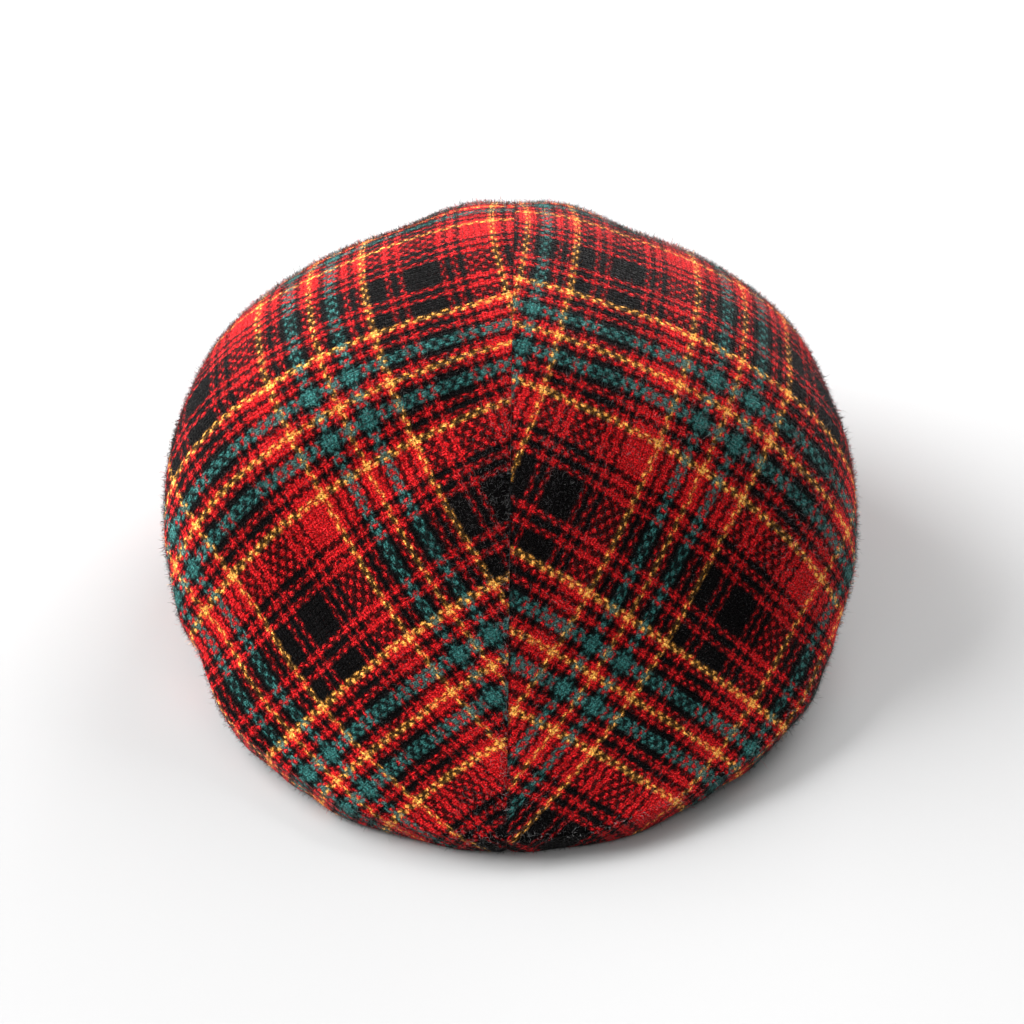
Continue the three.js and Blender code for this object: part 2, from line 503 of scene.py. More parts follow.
    def paint(self, bare: bool) -> bpy.types.Material:
        """Make the wool.

        Args:
            bare: True for the woven ground, and False for the loose fibres on it.

        Returns:
            The material.
        """
        paint = Paint("tartan_ground" if bare else "tartan_nap")
        cloth = paint.cloth()
        colour, height = self.weave(paint, cloth)
        paint.set(
            Base_Color=self.fibre(paint, cloth, colour, height),
            Roughness=self.roughness,
            Specular_IOR_Level=self.gloss,
            Sheen_Weight=self.sheen,
            Sheen_Roughness=self.sheen_roughness,
        )
        if bare:
            lain = paint.vector("MULTIPLY", cloth, self.brushed)
            fibres = paint.noise(lain, self.fibre_grain) * self.fibre_bump
            paint.bump(height * self.thread_bump + fibres, self.bump_depth, self.bump_strength)
        return paint.material


@dataclass(frozen=True)
class PlainCloth:
    """Plain black wool cloth for the underside of the peak."""

    colour: Colour = (0.014, 0.013, 0.014)
    pitch: float = 0.9 * MM
    grain: Grain = Grain(0.5 * MM, 3.0)
    weave_tone: float = 0.12
    tone: Ease = Ease(0.2, 0.8, 0.6, 1.7)
    roughness: float = 0.95
    gloss: float = 0.15
    sheen: float = 0.25
    weave_bump: float = 0.5
    bump_depth: float = 0.25 * MM
    bump_strength: float = 0.5

    def paint(self) -> bpy.types.Material:
        """Make the cloth from a fine weave on object coordinates.

        Returns:
            The material.
        """
        paint = Paint("peak_cloth")
        place = paint.place()
        across, along = paint.parts(place)[:2]
        turns = math.pi / self.pitch
        weave = ((across + along) * turns).math("SINE") * ((across - along) * turns).math("SINE")
        grain = paint.noise(place, self.grain)
        tone = paint.between(grain + weave * self.weave_tone, self.tone)
        paint.set(
            Base_Color=paint.scaled(self.colour, tone),
            Roughness=self.roughness,
            Specular_IOR_Level=self.gloss,
            Sheen_Weight=self.sheen,
        )
        paint.bump(weave * self.weave_bump + grain, self.bump_depth, self.bump_strength)
        return paint.material


@dataclass(frozen=True)
class RibbedTape:
    """Black ribbed tape for the band, with ribs across its length and painted shade between the ribs."""

    colour: Colour = (0.013, 0.0125, 0.013)
    rib: float = 1.3 * MM
    grain: Grain = Grain(0.4 * MM, 3.0)
    # painted shade between the ribs
    painted_rib_shade: float = 0.5
    grain_tone: float = 0.5
    tone: Ease = Ease(0.1, 0.9, 0.5, 1.9)
    roughness: float = 0.7
    gloss: float = 0.3
    grain_bump: float = 0.3
    bump_depth: float = 0.3 * MM
    bump_strength: float = 0.6

    def paint(self) -> bpy.types.Material:
        """Make the tape from ribs that follow the band's own map, with painted shade between the ribs.

        Returns:
            The material.
        """
        paint = Paint("band_cloth")
        cloth = paint.cloth()
        along = paint.parts(cloth)[0]
        ribs = abs((along * (math.pi / self.rib)).math("SINE"))
        grain = paint.noise(cloth, self.grain)
        # painted shade: the colour is darker between the ribs and lighter on their crests
        tone = paint.between(ribs * self.painted_rib_shade + grain * self.grain_tone, self.tone)
        paint.set(
            Base_Color=paint.scaled(self.colour, tone),
            Roughness=self.roughness,
            Specular_IOR_Level=self.gloss,
        )
        paint.bump(ribs + grain * self.grain_bump, self.bump_depth, self.bump_strength)
        return paint.material


@dataclass(frozen=True)
class StudioPaper:
    """Pale paper under the cap, with a faint unevenness."""

    colour: Colour = (0.485, 0.485, 0.487)
    grain: Grain = Grain(0.25)
    tone: Ease = Ease(0.3, 0.7, 0.995, 1.005)
    roughness: float = 0.9
    gloss: float = 0.1

    def paint(self) -> bpy.types.Material:
        """Make the paper.

        Returns:
            The material.
        """
        paint = Paint("studio_paper")
        uneven = paint.between(paint.noise(paint.place(), self.grain), self.tone)
        paint.set(
            Base_Color=paint.scaled(self.colour, uneven),
            Roughness=self.roughness,
            Specular_IOR_Level=self.gloss,
        )
        return paint.material


@dataclass(frozen=True)
class Profile:
    """A section through the cap from its pole outwards, in millimetres and degrees.

    edge and slope are the height of the fullest line and the fall of the cloth there, hem the height of
    the turned-in edge, tuck the share of the way from the lip of the peak to the head opening, first and
    last the handles of the curve, and rise, tall and lean the lower edge, height and lean of the band.
    """

    angle: float
    edge: float
    slope: float
    hem: float
    tuck: float
    first: float
    last: float
    rise: float
    tall: float
    lean: float


@dataclass(frozen=True)
class Dent:
    """A soft mound or hollow of one panel or of both, in millimetres."""

    across: float
    along: float
    wide: float
    long: float
    height: float
    side: Optional[Side] = None


@dataclass(frozen=True)
class CapForm:
    """The outer skin of the cap, worked out from its sections. Lengths are in millimetres."""

    width: float = 209.0
    front: float = 130.0
    back: float = 120.0
    pole_height: float = 84.0
    pole_lean: float = 0.33
    head_width: float = 168.0
    head_front: float = 90.0
    head_back: float = 107.0
    lip_in: float = 1.0
    profiles: Tuple[Profile, ...] = (
        Profile(0, 6, 27, 0, 0, 0.3, 52, 16, 18, 15),
        Profile(25, 8, 29, 2, 0, 0.32, 49, 14, 19, 14),
        Profile(45, 11, 34, 5, 0.03, 0.38, 43, 10.5, 22, 11),
        Profile(60, 18, 54, 6.5, 0.25, 0.46, 36, 7.5, 25, 7),
        Profile(75, 28, 82, 4.5, 0.8, 0.54, 30, 4, 27, 4),
        Profile(95, 36, 90, 3, 1, 0.6, 30, 0, 28, 2),
        Profile(130, 42, 90, 3, 1, 0.5, 27, 0, 28, 2),
        Profile(180, 40, 90, 3, 1, 0.57, 29, 0, 28, 2),
    )
    dents: Tuple[Dent, ...] = (
        Dent(0, -38, 5, 24, -1.0),
        Dent(26, -80, 22, 38, -1.9, Side.RIGHT),
        Dent(14, 100, 13, 24, 1.6),
        Dent(40, 96, 15, 26, -2),
        Dent(30, -45, 26, 30, 1.5, Side.LEFT),
        Dent(34, -40, 26, 30, 0.7, Side.RIGHT),
        Dent(102, -12, 30, 22, 0.8, Side.LEFT),
        Dent(93, -58, 14, 9, -2.2, Side.LEFT),
        Dent(101, 27, 25, 20, -2.4, Side.RIGHT),
        Dent(85, -74, 14, 13, 1.6, Side.RIGHT),
    )
    half_degrees: int = 360
    softening: float = 9.0
    softening_reach: int = 24
    edge_spread: float = 0.05
    edge_fade: float = 0.3
    edge_steps: int = 7
    edge_fall: float = 0.8

    @property
    def pole_y(self) -> float:
        """How far the pole lies behind the middle of the cap."""
        return (self.front - self.back) / 2

    def column(self, name: str, angle: np.ndarray) -> np.ndarray:
        """One column of the sections, eased from row to row and level at the front and the back.

        Args:
            name: The column.
            angle: Directions in radians, 0 to pi.

        Returns:
            The column's value in each direction.
        """
        rows = np.radians([row.angle for row in self.profiles])
        values = np.array([getattr(row, name) for row in self.profiles], float)
        slopes = np.zeros(len(rows))
        slopes[1:-1] = (values[2:] - values[:-2]) / (rows[2:] - rows[:-2])
        fine = np.linspace(0.0, math.pi, self.half_degrees + 1)
        start = np.clip(np.searchsorted(rows, fine, side="right") - 1, 0, len(rows) - 2)
        gap = rows[start + 1] - rows[start]
        share = (fine - rows[start]) / gap
        ease = share * share * (3 - 2 * share)
        bend = share * (1 - share) * ((1 - share) * slopes[start] - share * slopes[start + 1]) * gap
        curve = values[start] * (1 - ease) + values[start + 1] * ease + bend
        reach = self.softening_reach
        kernel = np.exp(-0.5 * (np.arange(-reach, reach + 1) / self.softening) ** 2)
        softened = np.convolve(np.pad(curve, reach, mode="reflect"), kernel / kernel.sum(), mode="valid")
        return np.interp(angle, fine, softened)

    @staticmethod
    def oval(angle: np.ndarray, width: float, front: float, back: float) -> np.ndarray:
        """Distance from the pole to an oval that is longer at one end."""
        length = np.where(np.cos(angle) > 0, front, back)
        return 1.0 / np.hypot(np.sin(angle) / (width / 2), np.cos(angle) / length)

    def crown_reach(self, angle: np.ndarray) -> np.ndarray:
        """Distance from the pole to the fullest line."""
        return self.oval(angle, self.width, self.front, self.back)

    def head_reach(self, angle: np.ndarray) -> np.ndarray:
        """Distance from the pole to the head opening."""
        return self.oval(angle, self.head_width, self.head_front, self.head_back)

    def turn_in(self, angle: np.ndarray) -> np.ndarray:
        """How far the cloth turns in below the fullest line."""
        tuck = np.clip(self.column("tuck", angle), 0, 1)
        return self.lip_in + (self.crown_reach(angle) - self.head_reach(angle) - self.lip_in) * tuck

    def section(self, angle: np.ndarray, along: np.ndarray) -> Tuple[np.ndarray, np.ndarray]:
        """Points of the skin's sections.

        Args:
            angle: Direction of each point in radians.
            along: Where it is: 0 at the pole, 1 at the fullest line and 2 at the hem.

        Returns:
            Reach from the pole and height of each point.
        """
        reach = self.crown_reach(angle)
        edge = self.column("edge", angle)
        hem = self.column("hem", angle)
        slope = np.radians(self.column("slope", angle))
        last = self.column("last", angle)
        tuck = np.clip(self.column("tuck", angle), 0, 1)
        handle = self.column("first", angle) * reach
        t = np.clip(along, 0, 1)
        s = 1 - t
        near, mid, far = 3 * s * s * t, 3 * s * t * t, t ** 3
        out = near * handle + mid * (reach - last * np.cos(slope)) + far * reach
        fall = self.pole_lean * np.cos(angle) * handle
        above = (s ** 3 + near) * self.pole_height - near * fall
        up = above + mid * (edge + last * np.sin(slope)) + far * edge
        q = np.clip(along - 1, 0, 1)
        p = 1 - q
        corner = (edge + hem) / 2 * (1 - tuck) + hem * tuck
        turned_out = p * p * reach + 2 * p * q * reach + q * q * (reach - self.turn_in(angle))
        turned_up = p * p * edge + 2 * p * q * corner + q * q * hem
        below = along > 1
        return np.where(below, turned_out, out), np.where(below, turned_up, up)

    def place(self, angle: np.ndarray, reach: np.ndarray, height: np.ndarray) -> np.ndarray:
        """Points in millimetres from a direction, a reach and a height."""
        return np.stack([reach * np.sin(angle), self.pole_y - reach * np.cos(angle), height], -1)

    def skin(self, angle: np.ndarray, along: np.ndarray) -> np.ndarray:
        """Points of the skin, with the edge of the peak rounded over.

        Args:
            angle: Direction of each point in radians.
            along: 0 at the pole, 1 at the fullest line and 2 at the hem.

        Returns:
            One point a row, in millimetres.
        """
        from_pole = np.clip(along / self.edge_fade, 0, 1)
        from_hem = np.clip((2 - along) / self.edge_fade, 0, 1)
        spread = self.edge_spread * from_pole * from_hem
        steps = np.linspace(-1, 1, self.edge_steps)
        weights = 1 - self.edge_fall * np.abs(steps)
        sections = [self.section(angle, along + spread * step) for step in steps]
        reach = sum(weight * out for weight, (out, _) in zip(weights, sections)) / weights.sum()
        height = sum(weight * up for weight, (_, up) in zip(weights, sections)) / weights.sum()
        return self.place(angle, reach, height)

    def dent_height(self, points: np.ndarray, side: Side) -> np.ndarray:
        """Height of all mounds and hollows.

        Args:
            points: Places in millimetres.
            side: The panel that they are on.

        Returns:
            The height at each place, in millimetres.
        """
        total = np.zeros(len(points))
        for dent in (dent for dent in self.dents if dent.side in (None, side)):
            across = (np.abs(points[:, 0]) - dent.across) / dent.wide
            along = (points[:, 1] - dent.along) / dent.long
            total += dent.height * np.exp(-across * across - along * along)
        return total


@dataclass(frozen=True)
class Puckers:
    """Puckers of the cloth beside the seam, in millimetres."""

    height: float = 0.3
    spacing: float = 8.0
    reach: float = 7.0
    full_depth: float = 0.5
    along: float = 1.1
    down: float = 0.4
    start: float = 0.7
    drift: float = 0.35
    drift_length: float = 17.0
    swell: float = 0.4
    swell_length: float = 31.0

    def at(self, points: np.ndarray, depth: np.ndarray, side: Side) -> np.ndarray:
        """Height of the puckers, which follow the seam and fade away from it.

        Args:
            points: Places in millimetres.
            depth: Depth of the seam beside each place.
            side: The panel that they are on.

        Returns:
            The height at each place.
        """
        x, y, z = points.T
        run = y * self.along - z * self.down
        drift = self.drift * np.sin(run / self.drift_length)
        beat = 2 * math.pi * (run / self.spacing + drift) + self.start * side.value
        swell = 1 - self.swell + self.swell * np.sin(run / self.swell_length)
        fade = np.exp(-np.abs(x) / self.reach)
        return self.height * (np.sin(beat) * fade * swell * np.minimum(depth / self.full_depth, 1))


@dataclass(frozen=True)
class Ripples:
    """Soft waves all over a panel, in millimetres; each wave has a length along X, Y and Z."""

    height: float = 0.15
    waves: Tuple[Tuple[float, float, float], ...] = (
        (11.0, 17.0, math.inf), (-23.0, 9.0, 13.0), (15.0, math.inf, 8.0)
    )

    def at(self, points: np.ndarray) -> np.ndarray:
        """Height of the waves at some places."""
        return self.height * sum(np.sin((points / wave).sum(1)) for wave in self.waves)


@dataclass(frozen=True)
class EdgeRipples:
    """Unevenness of a panel's lower edge, in millimetres."""

    height: float = 0.275
    radius: float = 100.0
    first_length: float = 3.1
    sway: float = 1.3
    sway_length: float = 7.7
    second_length: float = 5.3
    second_start: float = 2.0
    fade_up: float = 40.0
    fade_to_seam: float = 12.0

    def at(self, points: np.ndarray, pole_y: float) -> np.ndarray:
        """Height of the unevenness, which fades upwards and towards the seam.

        Args:
            points: Places in millimetres.
            pole_y: The pole's Y.

        Returns:
            The height at each place.
        """
        x, y, z = points.T
        run = np.arctan2(x, pole_y - y) * self.radius
        sway = self.sway * np.sin(run / self.sway_length)
        first = np.sin(run / self.first_length + sway)
        second = np.sin(run / self.second_length + self.second_start)
        low = np.clip(1 - z / self.fade_up, 0, 1)
        return self.height * (first + second) * low * np.clip(np.abs(x) / self.fade_to_seam, 0, 1)


def start_clean() -> None:
    """Deselect everything, the frame's nodes too."""
    bpy.ops.object.select_all(action="DESELECT")


def add_grid(name: str, across: int, along: int) -> bpy.types.Object:
    """Add a flat square of cells that reaches from -1 to 1 both ways.

    Args:
        name: The new piece's name.
        across: Cells along X.
        along: Cells along Y.

    Returns:
        The active new piece.
    """
    start_clean()
    bpy.ops.mesh.primitive_grid_add(x_subdivisions=across, y_subdivisions=along, size=2, calc_uvs=True)
    grid = bpy.context.object
    grid.name = name
    grid.data.name = name
    return grid


def apply_modifier(kind: str, **settings: Any) -> None:
    """Add a modifier to the active object, set it and apply it.

    Args:
        kind: The modifier's type.
        settings: Its settings.
    """
    bpy.ops.object.modifier_add(type=kind)
    modifier = bpy.context.object.modifiers[-1]
    for key, value in settings.items():
        setattr(modifier, key, value)
    bpy.ops.object.modifier_apply(modifier=modifier.name)


def face_outwards(weld: float = 0.0) -> None:
    """Turn the active object's faces outwards.

    Args:
        weld: Points closer than this are joined first, in millimetres; 0 joins none.
    """
    bpy.ops.object.mode_set(mode="EDIT")
    bpy.ops.mesh.select_all(action="SELECT")
    if weld:
        bpy.ops.mesh.remove_doubles(threshold=weld * MM)
    bpy.ops.mesh.normals_make_consistent(inside=False)
    bpy.ops.object.mode_set(mode="OBJECT")


def round_edges(width: float, sharp: float = 1.0, smooth: float = 50.0) -> None:
    """Round the active object's sharp edges and shade it smooth.

    Args:
        width: Width of the rounding, in millimetres.
        sharp: Edges that turn by more than this are rounded, in radians.
        smooth: Edges that turn by less than this are shaded smooth, in degrees.
    """
    apply_modifier("BEVEL", width=width * MM, segments=2, limit_method="ANGLE", angle_limit=sharp)
    bpy.ops.object.shade_smooth_by_angle(angle=math.radians(smooth))


def read_points(mesh: bpy.types.Mesh, what: str = "co") -> np.ndarray:
    """Read a mesh's vertices.

    Args:
        mesh: The mesh.
        what: "co" for their places, "normal" for their normals.

    Returns:
        One row a vertex.
    """
    values = np.empty(len(mesh.vertices) * 3, np.float32)
    mesh.vertices.foreach_get(what, values)
    return values.reshape(-1, 3).astype(float)


def write_points(mesh: bpy.types.Mesh, points: np.ndarray) -> None:
    """Move a mesh's vertices to the given places."""
    mesh.vertices.foreach_set("co", points.astype(np.float32).ravel())
    mesh.update()


def read_map(mesh: bpy.types.Mesh) -> np.ndarray:
    """Read a mesh's map of the flat cloth.

    Args:
        mesh: The mesh.

    Returns:
        One row a face corner.
    """
    values = np.empty(len(mesh.loops) * 2, np.float32)
    mesh.uv_layers[ClothMap.FLAT.value].uv.foreach_get("vector", values)
    return values.reshape(-1, 2).astype(float)


def write_map(mesh: bpy.types.Mesh, values: np.ndarray, which: ClothMap = ClothMap.FLAT) -> None:
    """Write one of a mesh's maps from one row a face corner."""
    mesh.uv_layers[which.value].uv.foreach_set("vector", values.astype(np.float32).ravel())


def corner_vertices(mesh: bpy.types.Mesh) -> np.ndarray:
    """Read the vertex of each face corner.

    Args:
        mesh: The mesh.

    Returns:
        One vertex number a face corner.
    """
    found = np.empty(len(mesh.loops), np.int32)
    mesh.loops.foreach_get("vertex_index", found)
    return found


@dataclass(frozen=True)
class ClothLay:
    """How a panel's cloth lies on the tartan, from the flat panel's pole, in millimetres.

    ends and picks give the place on the order at the pole and the change across and along the panel, and
    sway, flare and lift ease the threads in front of the pole, where the cloth is pulled over the peak.
    They are for a step of 100 mm.
    """

    ends: Tuple[float, float, float]
    picks: Tuple[float, float, float]
    sway: float
    flare: float
    lift: float
    step: float = 100.0

    def threads(self, flat: np.ndarray) -> np.ndarray:
        """Find places on the tartan.

        Args:
            flat: Places on the flat panel, in metres.

        Returns:
            Places across the ends and the picks, in metres.
        """
        x, y = flat.T / (self.step * MM)
        ahead = np.minimum(y, 0)
        across = self.ends[0] + self.step * (self.ends[1] * x + self.ends[2] * y)
        across += self.sway * ahead ** 3 + self.flare * x * x * ahead
        along = self.picks[0] + self.step * (self.picks[1] * x + self.picks[2] * y)
        along += self.lift * x * ahead * ahead
        return np.stack([across, along], -1) * MM


LAYS = {
    Side.LEFT: ClothLay(
        ends=(-64.1, -0.889, -0.127), picks=(-20.7, 0.282, -1.019), sway=-17.1, flare=-10.4, lift=17.4
    ),
    Side.RIGHT: ClothLay(
        ends=(51.0, -0.970, 0.086), picks=(-13.1, -0.290, -1.00), sway=14.7, flare=11.0, lift=-8.0
    ),
}


@dataclass
class CrownPanel:
    """One cloth panel: half of the crown and of the cover of the peak. Lengths are in millimetres.

    seam_line holds places along Y and the depth of the seam there.
    """

    side: Side
    form: CapForm
    cells_across: int = 110
    cells_along: int = 210
    crowding: float = 1.4
    edge_share: float = 0.8
    thickness: float = 2.0
    gap: float = 0.06
    floor: float = 0.05
    seam_line: Tuple[Tuple[float, float], ...] = (
        (-125.0, 0.7), (-70.0, 0.7), (-45.0, 0.9), (-20.0, 0.6), (5.0, 0.1), (125.0, 0.02)
    )
    seam_half_width: float = 1.0
    puckers: Puckers = Puckers()
    ripples: Ripples = Ripples()
    edge_ripples: EdgeRipples = EdgeRipples()
    dent_fade: float = 9.0
    evening: int = 40
    unwrap_rounds: int = 5
    flat_size: Tuple[float, float] = field(default=(0.0, 0.0), init=False)
    flat_area: float = field(default=0.0, init=False)

    @property
    def node(self) -> str:
        """Name of the panel's node in the frame."""
        return f"crown_{self.side.word}"

    def cut(self) -> bpy.types.Object:
        """Add a flat grid of cloth and drape it over the cap's form.

        Returns:
            The draped sheet, without thickness.
        """
        sheet = add_grid(f"panel_{self.side.word}", self.cells_across, self.cells_along)
        sheet.data.uv_layers[0].name = ClothMap.FLAT.value
        grid = read_points(sheet.data)
        write_points(sheet.data, self.drape(grid[:, 0], grid[:, 1]) * MM)
        self.soften(sheet.data)
        bpy.ops.object.shade_smooth()
        return sheet

    def drape(self, across: np.ndarray, along: np.ndarray) -> np.ndarray:
        """Carry the grid's square onto half of the skin.

        Args:
            across: The grid's X, from -1 to 1.
            along: The grid's Y, from -1 at the front to 1 at the back.

        Returns:
            Points in millimetres.
        """
        from_seam = ((1 + self.side.value * across) / 2) ** self.crowding
        out = from_seam * np.sqrt(1 - along * along / 2)
        back = along * np.sqrt(1 - from_seam * from_seam / 2)
        share = (np.hypot(out, back) + np.maximum(from_seam, np.abs(along))) / 2
        angle = np.arctan2(out, -back)
        on_top = share / self.edge_share
        turned = 1 + (share - self.edge_share) / (1 - self.edge_share)
        points = self.form.skin(angle, np.where(on_top > 1, turned, on_top))
        points[:, 0] = self.side.value * (points[:, 0] + self.gap / 2)
        return points

    def broad_normals(self, mesh: bpy.types.Mesh) -> np.ndarray:
        """Even out the normals, so that a push along them doesn't fold a sharp edge.

        Args:
            mesh: The draped sheet.

        Returns:
            One normal a vertex.
        """
        spread = read_points(mesh, "normal").reshape(self.cells_along + 1, self.cells_across + 1, 3)
        for _ in range(self.evening):
            wide = np.pad(spread, ((1, 1), (1, 1), (0, 0)), mode="edge")
            spread = (wide[:-2, 1:-1] + wide[2:, 1:-1] + wide[1:-1, :-2] + wide[1:-1, 2:]) / 4
        spread = spread.reshape(-1, 3)
        return spread / np.linalg.norm(spread, axis=1)[:, None]

    def soften(self, mesh: bpy.types.Mesh) -> None:
        """Press the seam in, pucker the cloth beside it and let the panel and its lower edge ripple.

        Args:
            mesh: The draped sheet.
        """
        points = read_points(mesh) / MM
        normals = self.broad_normals(mesh)
        depth = np.interp(points[:, 1], *np.array(self.seam_line).T)
        groove = np.exp(-((points[:, 0] / self.seam_half_width) ** 2))
        dents = self.form.dent_height(points, self.side) * np.clip(points[:, 2] / self.dent_fade, 0, 1)
        height = dents - depth * groove
        height += self.puckers.at(points, depth, self.side) + self.ripples.at(points)
        height += self.edge_ripples.at(points, self.form.pole_y)
        points += normals * height[:, None]
        points[:, 0] = self.side.value * np.maximum(np.abs(points[:, 0]), self.gap / 2)
        points[:, 2] = np.maximum(points[:, 2], self.floor)
        write_points(mesh, points * MM)

    def flatten(self, sheet: bpy.types.Object) -> None:
        """Unwrap the draped sheet as the pattern piece that it was cut from, and lay it on the tartan.

        Args:
            sheet: The draped sheet, which is the active object.
        """
        bpy.ops.object.mode_set(mode="EDIT")
        bpy.ops.mesh.select_all(action="SELECT")
        bpy.ops.uv.unwrap(method="MINIMUM_STRETCH", iterations=self.unwrap_rounds, margin=0.0)
        bpy.ops.object.mode_set(mode="OBJECT")
        mesh = sheet.data
        corners = corner_vertices(mesh)
        flat = np.empty((len(mesh.vertices), 2))
        flat[corners] = read_map(mesh)
        flat = self.to_size(mesh, flat)
        self.flat_size = tuple(np.ptp(flat, axis=0))
        self.flat_area = sum(face.area for face in mesh.polygons)
        write_map(mesh, LAYS[self.side].threads(flat)[corners])

    def to_size(self, mesh: bpy.types.Mesh, flat: np.ndarray) -> np.ndarray:
        """Bring an unwrapped map to true size, with the seam along Y and the pole at the origin.

        Args:
            mesh: The draped sheet.
            flat: The unwrapped place of each vertex.

        Returns:
            Places on the flat panel, in metres.
        """
        points = read_points(mesh)
        width, length = self.cells_across + 1, self.cells_along + 1
        grid = flat.reshape(length, width, 2)
        solid = points.reshape(length, width, 3)
        seam = 0 if self.side is Side.RIGHT else width - 1
        ends = length // 6
        rows = slice(ends, length - ends)
        true = np.linalg.norm(np.diff(solid[rows], axis=0), axis=2).sum()
        mapped = np.linalg.norm(np.diff(grid[rows], axis=0), axis=2).sum()
        flat = flat * (true / mapped)
        grid = flat.reshape(length, width, 2)
        chord = grid[rows, seam][-1] - grid[rows, seam][0]
        lean = math.atan2(chord[0], chord[1])
        turned = np.array([[math.cos(lean), math.sin(lean)], [-math.sin(lean), math.cos(lean)]])
        flat = flat @ turned
        pole = np.argmin(np.linalg.norm(points[:, :2] - (0.0, self.form.pole_y * MM), axis=1))
        return flat - flat[pole]

    def thicken(self, sheet: bpy.types.Object) -> None:
        """Give the cloth its thickness, towards the inside."""
        bpy.context.view_layer.objects.active = sheet
        apply_modifier("SOLIDIFY", thickness=self.thickness * MM, offset=-1.0, use_even_offset=False)

    def build(self, finish: bpy.types.Material) -> bpy.types.Object:
        """Make the panel.

        Args:
            finish: The woven ground's material.

        Returns:
            The finished piece, still without thickness.
        """
        sheet = self.cut()
        self.flatten(sheet)
        sheet.data.materials.append(finish)
        return sheet

    def declare(self, sheet: bpy.types.Object) -> None:
        """Tie the panel to the frame's root and hide the frame's own node for it.

        Args:
            sheet: The panel.
        """
        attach(sheet, "root")
        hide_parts(self.node)


